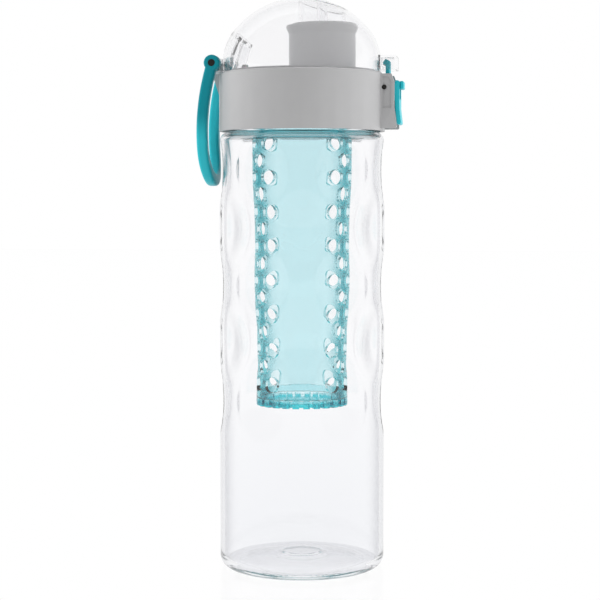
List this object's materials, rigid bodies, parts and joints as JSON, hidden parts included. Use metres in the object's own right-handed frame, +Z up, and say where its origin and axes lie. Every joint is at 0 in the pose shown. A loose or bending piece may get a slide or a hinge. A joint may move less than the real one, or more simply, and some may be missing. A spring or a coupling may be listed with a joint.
{
  "type": "fruit infuser water bottle",
  "caption": "Clear infuser water bottle with finger dents, screw collar, domed flip cover over a wide spout, side carry loop and a pierced basket for fruit.",
  "frame": {"origin": "centre of the face that the bottle stands on", "axes": "+Z up along the bottle, +X to the latch of the lid, -X to the hinge and the carry loop"},
  "size_m": [0.0896, 0.073, 0.2518],
  "materials": {
    "clear_plastic": "clear gloss",
    "lid_plastic": "satin",
    "spout_plastic": "satin",
    "silicone": "matte",
    "teal_plastic": "gloss",
    "aqua_plastic": "clear gloss",
    "steel": "brushed"
  },
  "bodies": {
    "bottle": {"bottle_body": "clear_plastic"},
    "gasket": {"lid_gasket": "silicone"},
    "lid": {"lid_collar": "lid_plastic", "lid_insert": "lid_plastic", "spout": "spout_plastic", "vent_valve": "silicone", "hinge_pin": "steel", "latch_pin": "steel"},
    "cover": {"dome_cover": "clear_plastic", "spout_seal": "silicone"},
    "loop": {"carry_loop": "teal_plastic"},
    "latch": {"latch_lever": "teal_plastic"},
    "lock": {"lock_slider": "teal_plastic"},
    "basket": {"infuser_basket": "aqua_plastic"},
    "basket_cap": {"infuser_cap": "aqua_plastic"}
  },
  "joints": [
    {"name": "lid_rise", "type": "slide", "parent": "bottle", "child": "gasket", "axis": [0, 0, 1], "range_m": [0, 0.012]},
    {"name": "lid_turn", "type": "hinge", "parent": "gasket", "child": "lid", "pos_m": [0, 0, 0.2162], "axis": [0, 0, 1], "range_deg": [0, 540]},
    {"name": "cover_open", "type": "hinge", "parent": "lid", "child": "cover", "pos_m": [-0.0375, 0, 0.2226], "axis": [0, -1, 0], "range_deg": [0, 120]},
    {"name": "loop_swing", "type": "hinge", "parent": "lid", "child": "loop", "pos_m": [-0.0375, 0, 0.2226], "axis": [0, -1, 0], "range_deg": [-180, 0]},
    {"name": "latch_press", "type": "hinge", "parent": "lid", "child": "latch", "pos_m": [0.037, 0, 0.2119], "axis": [0, 1, 0], "range_deg": [0, 9], "stiffness_Nm_per_rad": 0.3},
    {"name": "lock_slide", "type": "slide", "parent": "latch", "child": "lock", "axis": [0, 0, -1], "range_m": [0, 0.004]},
    {"name": "basket_pull", "type": "slide", "parent": "lid", "child": "basket", "axis": [0, 0, -1], "range_m": [0, 0.014]},
    {"name": "cap_pull", "type": "slide", "parent": "basket", "child": "basket_cap", "axis": [0, 0, -1], "range_m": [0, 0.006]}
  ],
  "couplings": [
    {"joint": "lid_turn", "follows": "lid_rise", "rad_per_m": 785.4}
  ]
}
